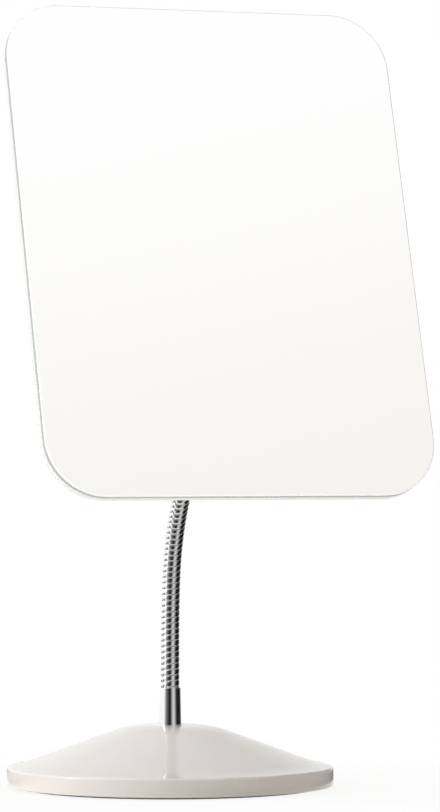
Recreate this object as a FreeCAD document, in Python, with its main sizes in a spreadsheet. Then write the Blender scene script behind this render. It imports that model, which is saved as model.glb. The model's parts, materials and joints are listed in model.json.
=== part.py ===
"""Frameless makeup mirror on a chromed flexible neck and a weighted round base.

Frame: millimetres, +Z up, origin at the centre of the pad that the base stands on.
The pane faces -Y and leans back; the neck bends in the YZ plane at rest.
The head (pane, back panel, upper ferrule) is drawn in its own frame: origin at the middle of the
pane's front face, X across, Y up the pane and Z out of its front.
"""
import FreeCAD
import Part
import math
import os
import Sketcher

Vector = FreeCAD.Vector

# Driving sizes: lengths in millimetres, angles in degrees
SIZES = {
    # Pane
    "mirror_width": 160.0,
    "mirror_height": 201.0,
    "mirror_corner_radius": 23.0,
    "mirror_lean": 17.5,
    "glass_thickness": 3.0,
    "glass_arris": 0.5,
    # Back panel and its hub
    "panel_inset": 0.1,
    "panel_skin": 2.0,
    "panel_rim_width": 2.6,
    "panel_edge_round": 0.7,
    "hub_below_middle": 61.8,
    "hub_diameter": 28.0,
    "hub_edge_round": 1.2,
    "hub_foot_round": 2.4,
    "hub_floor": 2.0,
    # Foam tape between pane and panel
    "tape_thickness": 1.5,
    "tape_width": 14.0,
    "tape_length": 136.0,
    "tape_margin": 18.0,
    # Threaded studs and nuts
    "stud_diameter": 6.0,
    "stud_hole_clearance": 0.2,
    "thread_clearance": 0.05,
    "nut_across_flats": 10.0,
    "nut_pocket_clearance": 0.15,
    "hub_nut_thickness": 3.2,
    "hub_stud_past_nut": 0.4,
    "base_nut_thickness": 5.0,
    "base_stud_past_nut": 1.0,
    "washer_diameter": 16.0,
    "washer_thickness": 1.2,
    "lock_washer_diameter": 11.8,
    "lock_washer_thickness": 1.6,
    "lock_washer_split": 1.2,
    # Ferrules
    "ferrule_length": 15.0,
    "ferrule_plug": 4.0,
    "ferrule_wall": 0.4,
    "ferrule_flare": 0.3,
    "ferrule_socket_clearance": 0.05,
    "ferrule_lip_round": 0.18,
    # Flexible neck
    "neck_diameter": 7.5,
    "neck_straight": 20.0,
    "neck_lower_bend_radius": 250.0,
    "neck_lower_bend_angle": 5.0,
    "neck_bend_radius": 75.8,
    "neck_stub": 4.6,
    "neck_end_gap": 0.3,
    "wire_diameter": 1.66,
    "wire_turn_gap": 0.67,
    "wire_end_gap": 0.6,
    "spring_wire_diameter": 1.1,
    "spring_nest_clearance": 0.1,
    # Base shell
    "base_diameter": 131.0,
    "base_gap": 1.0,
    "rim_height": 7.6,
    "rim_foot_round": 0.5,
    "shoulder_round": 1.2,
    "shoulder_angle": 8.0,
    "flank_angle": 20.0,
    "flank_foot_radius": 40.0,
    "crown_radius": 40.0,
    "crown_margin": 1.0,
    "shell_wall": 2.2,
    "seat_boss_height": 1.8,
    "seat_margin": 0.5,
    # Screw posts and screws
    "post_circle_radius": 45.0,
    "post_diameter": 8.0,
    "screw_diameter": 2.9,
    "screw_head_diameter": 5.6,
    "screw_length": 8.0,
    "screw_clearance": 0.05,
    "screw_hole_clearance": 0.25,
    "pilot_past_screw": 0.6,
    # Cover, ballast and pad
    "cover_land": 0.45,
    "cover_clearance": 0.25,
    "pad_recess": 0.8,
    "pad_margin": 3.0,
    "pad_clearance": 0.2,
    "ballast_thickness": 5.0,
    "ballast_headroom": 1.9,
    "ballast_bore": 26.0,
    "ballast_edge_chamfer": 0.6,
    "ballast_post_clearance": 0.4,
}

# The most of its wall that a fillet takes
FILLET_WALL_SHARE = 0.9

# Places that follow from the driving sizes
LAYOUT = {
    # Base profile, from the rim up to the crown
    "seat_radius": "Sizes.washer_diameter / 2 + Sizes.seat_margin",
    "crown_flat_radius": "seat_radius + Sizes.crown_margin",
    "rim_radius": "Sizes.base_diameter / 2",
    "rim_top": "Sizes.base_gap + Sizes.rim_height",
    "shoulder_radius": "rim_radius - Sizes.shoulder_round * (1 - sin(Sizes.shoulder_angle))",
    "shoulder_level": "rim_top - Sizes.shoulder_round * (1 - cos(Sizes.shoulder_angle))",
    "flank_foot": "shoulder_radius - Sizes.flank_foot_radius"
                  " * (sin(Sizes.flank_angle) - sin(Sizes.shoulder_angle))",
    "flank_foot_level": "shoulder_level + Sizes.flank_foot_radius"
                        " * (cos(Sizes.shoulder_angle) - cos(Sizes.flank_angle))",
    "flank_head": "crown_flat_radius + Sizes.crown_radius * sin(Sizes.flank_angle)",
    "flank_head_level": "flank_foot_level + (flank_foot - flank_head) * tan(Sizes.flank_angle)",
    "base_top": "flank_head_level + Sizes.crown_radius * (1 - cos(Sizes.flank_angle))",
    "crown_inner_radius": "Sizes.crown_radius - Sizes.shell_wall",
    "flank_inner_foot": "flank_foot - Sizes.shell_wall * sin(Sizes.flank_angle)",
    "flank_inner_level": "flank_foot_level - Sizes.shell_wall * cos(Sizes.flank_angle)",
    "stud_hole_radius": "Sizes.stud_diameter / 2 + Sizes.stud_hole_clearance",
    "rim_inner_radius": "rim_radius - Sizes.shell_wall",
    # Stack under the crown
    "washer_top": "base_top - Sizes.shell_wall - Sizes.seat_boss_height",
    "lock_washer_top": "washer_top - Sizes.washer_thickness",
    "base_nut_top": "lock_washer_top - Sizes.lock_washer_thickness",
    "base_stud_length": "base_top - base_nut_top + Sizes.base_nut_thickness"
                        " + Sizes.base_stud_past_nut",
    "thread_hole_radius": "Sizes.stud_diameter / 2 + Sizes.thread_clearance",
    # Cover, pad and screws
    "screw_head_depth": "(Sizes.screw_head_diameter - Sizes.screw_diameter) / 2",
    "pad_thickness": "Sizes.base_gap + Sizes.pad_recess",
    "cover_top": "pad_thickness + screw_head_depth + Sizes.cover_land",
    "cover_radius": "rim_inner_radius - Sizes.cover_clearance",
    "recess_radius": "cover_radius - Sizes.pad_margin",
    "pad_radius": "recess_radius - Sizes.pad_clearance",
    "pilot_depth": "pad_thickness + Sizes.screw_length + Sizes.pilot_past_screw - cover_top",
    "ballast_top": "cover_top + Sizes.ballast_thickness",
    "ballast_radius": "flank_inner_foot - (ballast_top + Sizes.ballast_headroom - flank_inner_level)"
                      " / tan(Sizes.flank_angle)",
    # Head, measured back from the pane's front face
    "panel_floor": "Sizes.glass_thickness + Sizes.tape_thickness",
    "panel_back": "panel_floor + Sizes.panel_skin",
    "hub_height": "Sizes.hub_floor + Sizes.hub_nut_thickness - Sizes.panel_skin",
    "hub_foot_fillet": "min(Sizes.hub_foot_round;"
                       f" {FILLET_WALL_SHARE} * (hub_height - Sizes.hub_edge_round))",
    "hub_face": "panel_back + hub_height",
    "hub_seat": "hub_face - Sizes.hub_floor",
    "hub_stud_length": "Sizes.hub_floor + Sizes.hub_nut_thickness + Sizes.hub_stud_past_nut",
    "head_reach": "hub_face + Sizes.ferrule_length",
    "panel_half_width": "Sizes.mirror_width / 2 - Sizes.panel_inset",
    "panel_half_height": "Sizes.mirror_height / 2 - Sizes.panel_inset",
    "panel_corner": "Sizes.mirror_corner_radius - Sizes.panel_inset",
    # Neck line and the place of the head
    "ferrule_top": "base_top + Sizes.ferrule_length",
    "socket_radius": "Sizes.neck_diameter / 2 + Sizes.ferrule_socket_clearance",
    "mouth_radius": "socket_radius + Sizes.ferrule_wall",
    "neck_turn": "90 - Sizes.mirror_lean",
    "neck_end_y": "-Sizes.neck_lower_bend_radius * (1 - cos(Sizes.neck_lower_bend_angle))"
                  " - Sizes.neck_bend_radius * (cos(Sizes.neck_lower_bend_angle) - cos(neck_turn))",
    "neck_end_z": "ferrule_top + Sizes.neck_straight"
                  " + Sizes.neck_lower_bend_radius * sin(Sizes.neck_lower_bend_angle)"
                  " + Sizes.neck_bend_radius * (sin(neck_turn) - sin(Sizes.neck_lower_bend_angle))",
    "hub_y": "neck_end_y - head_reach * cos(Sizes.mirror_lean)",
    "hub_z": "neck_end_z + head_reach * sin(Sizes.mirror_lean)",
    "head_y": "hub_y + Sizes.hub_below_middle * sin(Sizes.mirror_lean)",
    "head_z": "hub_z + Sizes.hub_below_middle * cos(Sizes.mirror_lean)",
}

# Counts
LINKS = 11
SCREWS = 4
HEX_SIDES = 6
GAP_POINTS_PER_TURN = 24

# How near a measured place or share has to be to the one asked for
TOLERANCE = 1e-4
TURN_SLACK_SHARE = 0.01
VOLUME_SLACK_SHARE = 0.01

doc = FreeCAD.newDocument("MakeupMirror")
pieces = []


# Sheets
def fill_sheet(name, rows, prefix):
    """Write one sheet of named values, one row for each."""
    sheet = doc.addObject("Spreadsheet::Sheet", name)
    for number, (alias, content) in enumerate(rows.items(), start=1):
        sheet.set(f"A{number}", alias)
        sheet.set(f"B{number}", f"{prefix}{content}")
        sheet.setAlias(f"B{number}", alias)
    doc.recompute()
    return sheet


sizes = fill_sheet("Sizes", SIZES, "")
layout = fill_sheet("Layout", LAYOUT, "=")


def value(expression):
    """Give the number that an expression of sheet values comes to."""
    return float(sizes.evalExpression(expression))


# Sketches and features
def new_body(label):
    body = doc.addObject("PartDesign::Body", label)
    body.Label = label
    pieces.append(body)
    return body


def origin_part(body, role):
    return next(part for part in body.Origin.OriginFeatures if part.Role == role)


def new_sketch(body, plane, name, shift=None):
    """Attach a sketch to one of the body's own planes, shifted by expressions along its axes."""
    sketch = body.newObject("Sketcher::SketchObject", f"{body.Label}_{name}")
    sketch.AttachmentSupport = (origin_part(body, plane), "")
    sketch.MapMode = "FlatFace"
    for axis, expression in (shift or {}).items():
        sketch.setExpression(f"AttachmentOffset.Base.{axis}", expression)
    return sketch


def bind(sketch, constraint, expression):
    index = sketch.addConstraint(constraint)
    sketch.setExpression(f"Constraints[{index}]", expression)


def pin(sketch, edge, end, x, y):
    """Hold one end of an edge, or a circle's middle, at a place given by two expressions."""
    if x == "0":
        sketch.addConstraint(Sketcher.Constraint("PointOnObject", edge, end, -2))
    else:
        bind(sketch, Sketcher.Constraint("DistanceX", -1, 1, edge, end, value(x)), x)
    if y == "0":
        sketch.addConstraint(Sketcher.Constraint("PointOnObject", edge, end, -1))
    else:
        bind(sketch, Sketcher.Constraint("DistanceY", -1, 1, edge, end, value(y)), y)


def arc_between(start, finish, radius, turn):
    """Give the arc of under a half circle from start to finish that turns left (1) or right (-1)."""
    chord = finish - start
    middle = (start + finish) * 0.5
    rise = math.sqrt(max(radius ** 2 - chord.Length ** 2 / 4, 0.0))
    side = Vector(-chord.y, chord.x, 0).normalize() * turn
    centre = middle + side * rise
    ends = (start, finish) if turn > 0 else (finish, start)
    angles = [math.atan2(end.y - centre.y, end.x - centre.x) for end in ends]
    if angles[1] < angles[0]:
        angles[1] += 2 * math.pi
    return Part.ArcOfCircle(Part.Circle(centre, Vector(0, 0, 1), radius), *angles)


def draw_outline(sketch, corners):
    """Draw a closed outline through corners (x, y) or (x, y, radius, turn).

    The edge that leaves a corner is a line, or an arc of that radius which turns left or right.
    """
    first = len(sketch.Geometry)
    points = [Vector(value(corner[0]), value(corner[1]), 0) for corner in corners]
    ends = []
    for corner, start, finish in zip(corners, points, points[1:] + points[:1]):
        if len(corner) == 2:
            sketch.addGeometry(Part.LineSegment(start, finish))
            ends.append((1, 2))
        else:
            turn = corner[3]
            sketch.addGeometry(arc_between(start, finish, value(corner[2]), turn))
            ends.append((1, 2) if turn > 0 else (2, 1))
    for index, corner in enumerate(corners):
        edge = first + index
        after = first + (index + 1) % len(corners)
        joint = Sketcher.Constraint("Coincident", edge, ends[index][1], after, ends[after - first][0])
        sketch.addConstraint(joint)
    for index, corner in enumerate(corners):
        edge = first + index
        pin(sketch, edge, ends[index][0], corner[0], corner[1])
        if len(corner) > 2:
            bind(sketch, Sketcher.Constraint("Radius", edge, value(corner[2])), corner[2])


def draw_circle(sketch, x, y, radius):
    edge = sketch.addGeometry(Part.Circle(Vector(value(x), value(y), 0), Vector(0, 0, 1), value(radius)))
    pin(sketch, edge, 3, x, y)
    bind(sketch, Sketcher.Constraint("Radius", edge, value(radius)), radius)


def rounded_rectangle(half_width, half_height, corner):
    """Give the corners of a rectangle with round corners, anticlockwise."""
    outline = []
    for across, up in ((1, -1), (1, 1), (-1, 1), (-1, -1)):
        side = (f"{across} * ({half_width})", f"{up} * ({half_height} - ({corner}))")
        end = (f"{across} * ({half_width} - ({corner}))", f"{up} * ({half_height})")
        first, second = (end, side) if across * up < 0 else (side, end)
        outline.append((*first, corner, 1))
        outline.append(second)
    return outline


def rectangle(left, right, bottom, top):
    return [(left, bottom), (right, bottom), (right, top), (left, top)]


def hexagon(across_flats, y):
    """Give the corners of a hexagon whose middle lies at (0, y)."""
    reach = f"({across_flats}) / 2 / cos({360 / HEX_SIDES / 2})"
    turns = [360 / HEX_SIDES * (side + 0.5) for side in range(HEX_SIDES)]
    return [(f"{reach} * cos({turn})", f"{y} + {reach} * sin({turn})") for turn in turns]


def feature(body, kind, name, sketch, **settings):
    """Add a feature made from a sketch and set its properties."""
    made = body.newObject(f"PartDesign::{kind}", f"{body.Label}_{name}")
    made.Profile = sketch
    for key, setting in settings.items():
        setattr(made, key, setting)
    return made


def pad(body, name, sketch, length, **settings):
    made = feature(body, "Pad", name, sketch, **settings)
    made.setExpression("Length", length)
    return made


def pocket(body, name, sketch, length, **settings):
    made = feature(body, "Pocket", name, sketch, **settings)
    made.setExpression("Length", length)
    return made


def revolve(body, kind, name, sketch):
    return feature(body, kind, name, sketch, ReferenceAxis=(sketch, ["V_Axis"]), Angle=360.0)


def polar(body, name, originals, count):
    """Repeat features round the upright axis of their body."""
    made = body.newObject("PartDesign::PolarPattern", f"{body.Label}_{name}")
    made.Originals = originals
    made.Axis = (origin_part(body, "Z_Axis"), [""])
    made.Angle = 360.0
    made.Occurrences = count
    body.Tip = made
    return made


def soften(body, kind, name, base, choose, amount):
    """Fillet or chamfer the edges of a feature that the choose function picks."""
    doc.recompute()
    edges = [f"Edge{number}" for number, edge in enumerate(base.Shape.Edges, 1) if choose(edge)]
    if not edges:
        raise RuntimeError(f"{body.Label}: no edge for {name}")
    made = body.newObject(f"PartDesign::{kind}", f"{body.Label}_{name}")
    made.Base = (base, edges)
    made.setExpression("Radius" if kind == "Fillet" else "Size", amount)
    return made


def level_edges(level, reach=None):
    """Pick edges that lie at one height of the body, and within a reach of its middle where given."""
    def choose(edge):
        box = edge.BoundBox
        flat = box.ZLength < TOLERANCE and abs(box.ZMin - level) < TOLERANCE
        return flat and (reach is None or reach(edge))
    return choose


def stand_in_head(body):
    """Place a body of the head: its frame leans back with the pane."""
    body.Placement = FreeCAD.Placement(Vector(), FreeCAD.Rotation(Vector(1, 0, 0), value("Layout.neck_turn")))
    body.setExpression("Placement.Rotation.Angle", "Layout.neck_turn")
    body.setExpression("Placement.Base.y", "Layout.head_y")
    body.setExpression("Placement.Base.z", "Layout.head_z")


# Base
def make_base_shell():
    """Hollow moulding: vertical rim, shallow bell-shaped flank, flat seat for the ferrule, screw posts."""
    body = new_body("base_shell")
    section = new_sketch(body, "XZ_Plane", "section")
    crown_x = "Layout.crown_flat_radius + Layout.crown_inner_radius * sin(Sizes.flank_angle)"
    crown_z = "Layout.base_top - Sizes.crown_radius + Layout.crown_inner_radius * cos(Sizes.flank_angle)"
    crown_level = "Layout.base_top - Sizes.shell_wall"
    draw_outline(section, [
        ("Layout.stud_hole_radius", "Layout.base_top"),
        ("Layout.stud_hole_radius", "Layout.washer_top"),
        ("Layout.seat_radius", "Layout.washer_top"),
        ("Layout.seat_radius", crown_level),
        ("Layout.crown_flat_radius", crown_level, "Layout.crown_inner_radius", -1),
        (crown_x, crown_z),
        ("Layout.flank_inner_foot", "Layout.flank_inner_level"),
        ("Layout.rim_inner_radius", "Layout.rim_top - Sizes.shell_wall"),
        ("Layout.rim_inner_radius", "Sizes.base_gap"),
        ("Layout.rim_radius - Sizes.rim_foot_round", "Sizes.base_gap", "Sizes.rim_foot_round", 1),
        ("Layout.rim_radius", "Sizes.base_gap + Sizes.rim_foot_round"),
        ("Layout.rim_radius", "Layout.rim_top - Sizes.shoulder_round", "Sizes.shoulder_round", 1),
        ("Layout.shoulder_radius", "Layout.shoulder_level", "Sizes.flank_foot_radius", -1),
        ("Layout.flank_foot", "Layout.flank_foot_level"),
        ("Layout.flank_head", "Layout.flank_head_level", "Sizes.crown_radius", 1),
        ("Layout.crown_flat_radius", "Layout.base_top"),
    ])
    revolve(body, "Revolution", "shell", section)
    doc.recompute()
    ring = new_sketch(body, "XY_Plane", "post", {"z": "Layout.cover_top"})
    draw_circle(ring, "Sizes.post_circle_radius", "0", "Sizes.post_diameter / 2")
    post = feature(body, "Pad", "post_pad", ring, Type="UpToFirst")
    doc.recompute()
    hole = new_sketch(body, "XY_Plane", "pilot", {"z": "Layout.cover_top"})
    draw_circle(hole, "Sizes.post_circle_radius", "0", "Sizes.screw_diameter / 2 + Sizes.screw_clearance")
    pilot = pocket(body, "pilot_hole", hole, "Layout.pilot_depth", Reversed=True)
    doc.recompute()
    polar(body, "posts", [post, pilot], SCREWS)


def make_base_cover():
    """Round plate with a shallow recess for the pad and countersunk screw holes."""
    body = new_body("base_cover")
    section = new_sketch(body, "XZ_Plane", "section")
    draw_outline(section, [
        ("0", "Layout.pad_thickness"),
        ("Layout.recess_radius", "Layout.pad_thickness"),
        ("Layout.recess_radius", "Sizes.base_gap"),
        ("Layout.cover_radius", "Sizes.base_gap"),
        ("Layout.cover_radius", "Layout.cover_top"),
        ("0", "Layout.cover_top"),
    ])
    revolve(body, "Revolution", "plate", section)
    doc.recompute()
    seat = new_sketch(body, "XZ_Plane", "screw_seat", {"x": "Sizes.post_circle_radius"})
    mouth = "Sizes.screw_head_diameter / 2 + Sizes.screw_hole_clearance"
    throat = "Sizes.screw_diameter / 2 + Sizes.screw_hole_clearance"
    draw_outline(seat, [
        ("0", "Layout.pad_thickness"),
        (mouth, "Layout.pad_thickness"),
        (throat, "Layout.pad_thickness + Layout.screw_head_depth"),
        (throat, "Layout.cover_top"),
        ("0", "Layout.cover_top"),
    ])
    cut = revolve(body, "Groove", "screw_hole", seat)
    doc.recompute()
    polar(body, "screw_holes", [cut], SCREWS)


def make_cover_screws():
    """Countersunk screws, one in each post, heads level with the floor of the cover's recess."""
    body = new_body("cover_screws")
    section = new_sketch(body, "XZ_Plane", "section", {"x": "Sizes.post_circle_radius"})
    tip = "Layout.pad_thickness + Sizes.screw_length"
    draw_outline(section, [
        ("0", "Layout.pad_thickness"),
        ("Sizes.screw_head_diameter / 2", "Layout.pad_thickness"),
        ("Sizes.screw_diameter / 2", "Layout.pad_thickness + Layout.screw_head_depth"),
        ("Sizes.screw_diameter / 2", f"{tip} - Sizes.screw_diameter / 2"),
        ("0", tip),
    ])
    screw = revolve(body, "Revolution", "screw", section)
    doc.recompute()
    polar(body, "screws", [screw], SCREWS)


def make_base_pad():
    """Round foam pad that the mirror stands on."""
    body = new_body("base_pad")
    outline = new_sketch(body, "XY_Plane", "outline")
    draw_circle(outline, "0", "0", "Layout.pad_radius")
    pad(body, "disc", outline, "Layout.pad_thickness")


def make_base_ballast():
    """Steel disc on the cover, bored in the middle, with holes that the screw posts pass through."""
    body = new_body("base_ballast")
    section = new_sketch(body, "XZ_Plane", "section")
    draw_outline(section, [
        ("Sizes.ballast_bore / 2", "Layout.cover_top"),
        ("Layout.ballast_radius", "Layout.cover_top"),
        ("Layout.ballast_radius", "Layout.ballast_top - Sizes.ballast_edge_chamfer"),
        ("Layout.ballast_radius - Sizes.ballast_edge_chamfer", "Layout.ballast_top"),
        ("Sizes.ballast_bore / 2", "Layout.ballast_top"),
    ])
    revolve(body, "Revolution", "disc", section)
    doc.recompute()
    hole = new_sketch(body, "XY_Plane", "post_hole", {"z": "Layout.cover_top"})
    draw_circle(hole, "Sizes.post_circle_radius", "0",
                "Sizes.post_diameter / 2 + Sizes.ballast_post_clearance")
    cut = pocket(body, "post_cut", hole, "Sizes.ballast_thickness", Reversed=True)
    doc.recompute()
    polar(body, "post_cuts", [cut], SCREWS)


def make_ring(label, radius, bottom, thickness):
    """Flat washer round the stud."""
    body = new_body(label)
    outline = new_sketch(body, "XY_Plane", "outline", {"z": bottom})
    draw_circle(outline, "0", "0", radius)
    draw_circle(outline, "0", "0", "Layout.stud_hole_radius")
    made = pad(body, "ring", outline, thickness)
    return body, made


def make_base_fixings():
    """Washer, split lock washer and nut that clamp the lower ferrule under the crown."""
    make_ring("base_washer", "Sizes.washer_diameter / 2", "Layout.lock_washer_top", "Sizes.washer_thickness")
    body, _ = make_ring("base_lock_washer", "Sizes.lock_washer_diameter / 2", "Layout.base_nut_top",
                        "Sizes.lock_washer_thickness")
    doc.recompute()
    split = new_sketch(body, "XY_Plane", "split", {"z": "Layout.base_nut_top"})
    half = "Sizes.lock_washer_split / 2"
    draw_outline(split, rectangle(f"-{half}", half, "0", "Sizes.lock_washer_diameter"))
    pocket(body, "split_cut", split, "Sizes.lock_washer_thickness", Reversed=True)
    body = new_body("base_nut")
    outline = new_sketch(body, "XY_Plane", "outline", {"z": "Layout.base_nut_top"})
    draw_outline(outline, hexagon("Sizes.nut_across_flats", "0"))
    draw_circle(outline, "0", "0", "Layout.thread_hole_radius")
    pad(body, "hexagon", outline, "Sizes.base_nut_thickness", Reversed=True)


# Ferrules
def make_ferrule(label, stud_length):
    """Slightly tapered sleeve with a blind socket for the neck and a stud below its foot."""
    body = new_body(label)
    section = new_sketch(body, "XZ_Plane", "section")
    lip = "Sizes.ferrule_lip_round"
    draw_outline(section, [
        ("0", f"-({stud_length})"),
        ("Sizes.stud_diameter / 2", f"-({stud_length})"),
        ("Sizes.stud_diameter / 2", "0"),
        ("Layout.mouth_radius + Sizes.ferrule_flare", "0"),
        ("Layout.mouth_radius", f"Sizes.ferrule_length - {lip}", lip, 1),
        (f"Layout.mouth_radius - {lip}", "Sizes.ferrule_length"),
        ("Layout.socket_radius", "Sizes.ferrule_length"),
        ("Layout.socket_radius", "Sizes.ferrule_plug"),
        ("0", "Sizes.ferrule_plug"),
    ])
    revolve(body, "Revolution", "sleeve", section)
    return body


def make_lower_ferrule():
    body = make_ferrule("lower_ferrule", "Layout.base_stud_length")
    body.setExpression("Placement.Base.z", "Layout.base_top")


def make_upper_ferrule():
    """The same sleeve turned round: its foot on the hub, its stud through the hub's floor."""
    body = make_ferrule("upper_ferrule", "Layout.hub_stud_length")
    turn = "Layout.neck_turn + 180"
    body.Placement = FreeCAD.Placement(Vector(), FreeCAD.Rotation(Vector(1, 0, 0), value(turn)))
    body.setExpression("Placement.Rotation.Angle", turn)
    body.setExpression("Placement.Base.y", "Layout.hub_y + Layout.hub_face * cos(Sizes.mirror_lean)")
    body.setExpression("Placement.Base.z", "Layout.hub_z - Layout.hub_face * sin(Sizes.mirror_lean)")


# Head
def make_mirror_glass():
    """Pane with round corners and ground arrises, silvered behind."""
    body = new_body("mirror_glass")
    outline = new_sketch(body, "XY_Plane", "outline", {"z": "-Sizes.glass_thickness"})
    draw_outline(outline, rounded_rectangle("Sizes.mirror_width / 2", "Sizes.mirror_height / 2",
                                            "Sizes.mirror_corner_radius"))
    pane = pad(body, "pane", outline, "Sizes.glass_thickness")
    front = level_edges(0.0)
    back = level_edges(-value("Sizes.glass_thickness"))
    soften(body, "Chamfer", "arris", pane, lambda edge: front(edge) or back(edge), "Sizes.glass_arris")
    stand_in_head(body)


def make_back_panel():
    """Shallow tray behind the pane with a round hub that holds a nut from inside."""
    body = new_body("back_panel")
    outline = new_sketch(body, "XY_Plane", "outline", {"z": "-Layout.panel_back"})
    draw_outline(outline, rounded_rectangle("Layout.panel_half_width", "Layout.panel_half_height",
                                            "Layout.panel_corner"))
    tray = pad(body, "tray", outline, "Layout.panel_back - Sizes.glass_thickness")
    soften(body, "Fillet", "edge", tray, level_edges(-value("Layout.panel_back")), "Sizes.panel_edge_round")
    doc.recompute()
    ring = new_sketch(body, "XY_Plane", "hub", {"z": "-Layout.hub_face"})
    draw_circle(ring, "0", "-Sizes.hub_below_middle", "Sizes.hub_diameter / 2")
    hub = pad(body, "hub_boss", ring, "Layout.hub_height + Sizes.panel_skin / 2")
    hub_edge = soften(body, "Fillet", "hub_edge", hub, level_edges(-value("Layout.hub_face")),
                      "Sizes.hub_edge_round")
    hub_middle = Vector(0, -value("Sizes.hub_below_middle"), -value("Layout.panel_back"))
    hub_reach = value("Sizes.hub_diameter") / 2 + TOLERANCE

    def round_the_hub(edge):
        return (edge.CenterOfMass - hub_middle).Length < TOLERANCE and edge.BoundBox.XMax < hub_reach

    soften(body, "Fillet", "hub_foot", hub_edge, level_edges(hub_middle.z, round_the_hub),
           "Layout.hub_foot_fillet")
    doc.recompute()
    hollow = new_sketch(body, "XY_Plane", "hollow", {"z": "-Layout.panel_floor"})
    rim = "Sizes.panel_rim_width"
    draw_outline(hollow, rounded_rectangle(f"Layout.panel_half_width - {rim}",
                                           f"Layout.panel_half_height - {rim}",
                                           f"Layout.panel_corner - {rim}"))
    pocket(body, "tray_hollow", hollow, "Sizes.tape_thickness", Reversed=True)
    doc.recompute()
    seat = new_sketch(body, "XY_Plane", "nut_seat", {"z": "-Layout.hub_seat"})
    draw_outline(seat, hexagon("Sizes.nut_across_flats + 2 * Sizes.nut_pocket_clearance",
                               "-Sizes.hub_below_middle"))
    pocket(body, "nut_pocket", seat, "Layout.hub_seat - Layout.panel_floor", Reversed=True)
    doc.recompute()
    bore = new_sketch(body, "XY_Plane", "bore", {"z": "-Layout.hub_face"})
    draw_circle(bore, "0", "-Sizes.hub_below_middle", "Layout.stud_hole_radius")
    pocket(body, "stud_bore", bore, "Sizes.hub_floor", Reversed=True)
    stand_in_head(body)


def make_hub_nut():
    """Thin nut in the hub's pocket."""
    body = new_body("hub_nut")
    outline = new_sketch(body, "XY_Plane", "outline", {"z": "-Layout.hub_seat"})
    draw_outline(outline, hexagon("Sizes.nut_across_flats", "-Sizes.hub_below_middle"))
    draw_circle(outline, "0", "-Sizes.hub_below_middle", "Layout.thread_hole_radius")
    pad(body, "hexagon", outline, "Sizes.hub_nut_thickness")
    stand_in_head(body)


def make_adhesive_pads():
    """Two strips of foam tape that fill the gap between the panel's floor and the pane."""
    body = new_body("adhesive_pads")
    outline = new_sketch(body, "XY_Plane", "outline", {"z": "-Layout.panel_floor"})
    outer = "(Layout.panel_half_width - Sizes.tape_margin)"
    inner = f"({outer} - Sizes.tape_width)"
    half = "Sizes.tape_length / 2"
    draw_outline(outline, rectangle(inner, outer, f"-{half}", half))
    draw_outline(outline, rectangle(f"-{outer}", f"-{inner}", f"-{half}", half))
    pad(body, "strips", outline, "Sizes.tape_thickness")
    stand_in_head(body)


# Flexible neck
class Neck:
    """The neck's line and its windings: straight out of the lower ferrule, then bent towards the pane."""

    def __init__(self):
        lower_radius = value("Sizes.neck_lower_bend_radius")
        lower_turn = math.radians(value("Sizes.neck_lower_bend_angle"))
        upper_radius = value("Sizes.neck_bend_radius")
        upper_turn = math.radians(value("Layout.neck_turn")) - lower_turn
        self.foot = Vector(0, 0, value("Layout.ferrule_top"))
        self.straight = value("Sizes.neck_straight")
        self.bends = [(lower_radius, lower_radius * lower_turn), (upper_radius, upper_radius * upper_turn)]
        self.run = self.straight + sum(length for _, length in self.bends)
        self.stub = value("Sizes.neck_stub")
        self.wire = value("Sizes.wire_diameter")
        socket_depth = value("Sizes.ferrule_length - Sizes.ferrule_plug")
        self.insert = socket_depth - value("Sizes.neck_end_gap") - self.wire / 2
        self.link = (self.run - 2 * self.stub) / LINKS
        # Each link ends a quarter short of a whole turn, so each cut in the wire lies on its hinge's axis
        cut_share = 0.75
        wanted = self.link / (self.wire + value("Sizes.wire_turn_gap"))
        self.link_turns = math.floor(wanted - cut_share + TURN_SLACK_SHARE) + cut_share
        self.pitch = self.link / self.link_turns
        self.radius = (value("Sizes.neck_diameter") - self.wire) / 2
        self.spring_wire = value("Sizes.spring_wire_diameter")
        nest = (self.wire + self.spring_wire) / 2 + value("Sizes.spring_nest_clearance")
        self.spring_radius = self.radius - math.sqrt(max(nest ** 2 - self.pitch ** 2 / 4, 0.0))

    def hinge(self, number):
        """Give how far along the neck hinge 0 to LINKS lies."""
        return self.stub + number * self.link

    def frame(self, run):
        """Give the line's point, direction, backward normal and curvature at a distance along the neck."""
        along = Vector(0, 0, 1)
        normal = Vector(0, 1, 0)
        curvature = 0.0
        point = self.foot + along * min(run, self.straight)
        left = run - self.straight
        for radius, length in self.bends:
            if left > 0:
                turn = min(left, length) / radius
                point = point + (along * math.sin(turn) - normal * (1 - math.cos(turn))) * radius
                along, normal = (along * math.cos(turn) - normal * math.sin(turn),
                                 normal * math.cos(turn) + along * math.sin(turn))
                curvature = 1 / radius if left <= length else 0.0
                left -= length
        return point + along * max(left, 0.0), along, normal, curvature

    def wire_point(self, run, radius, phase):
        """Give a winding's point and direction at a distance along the neck."""
        point, along, normal, curvature = self.frame(run)
        angle = 2 * math.pi * (run - self.stub) / self.pitch + phase
        outward = Vector(math.cos(angle), 0, 0) + normal * math.sin(angle)
        sideways = Vector(-math.sin(angle), 0, 0) + normal * math.cos(angle)
        stretch = 1 + radius * math.sin(angle) * curvature
        direction = along * stretch + sideways * (2 * math.pi * radius / self.pitch)
        return point + outward * radius, direction.normalize()

    def wire_run(self, length, radius):
        """Give how far along the neck a length of wire reaches."""
        return length / math.hypot(2 * math.pi * radius / self.pitch, 1)


def tangent_arc(start, corner, finish):
    """Give the arc from start to finish whose end tangents meet at corner."""
    middle = (start + finish) * 0.5
    half = (finish - start).Length / 2
    reach = (corner - start).Length
    crest = middle + (corner - middle) * (half / (half + reach))
    return Part.Arc(start, crest, finish).toShape()


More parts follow.
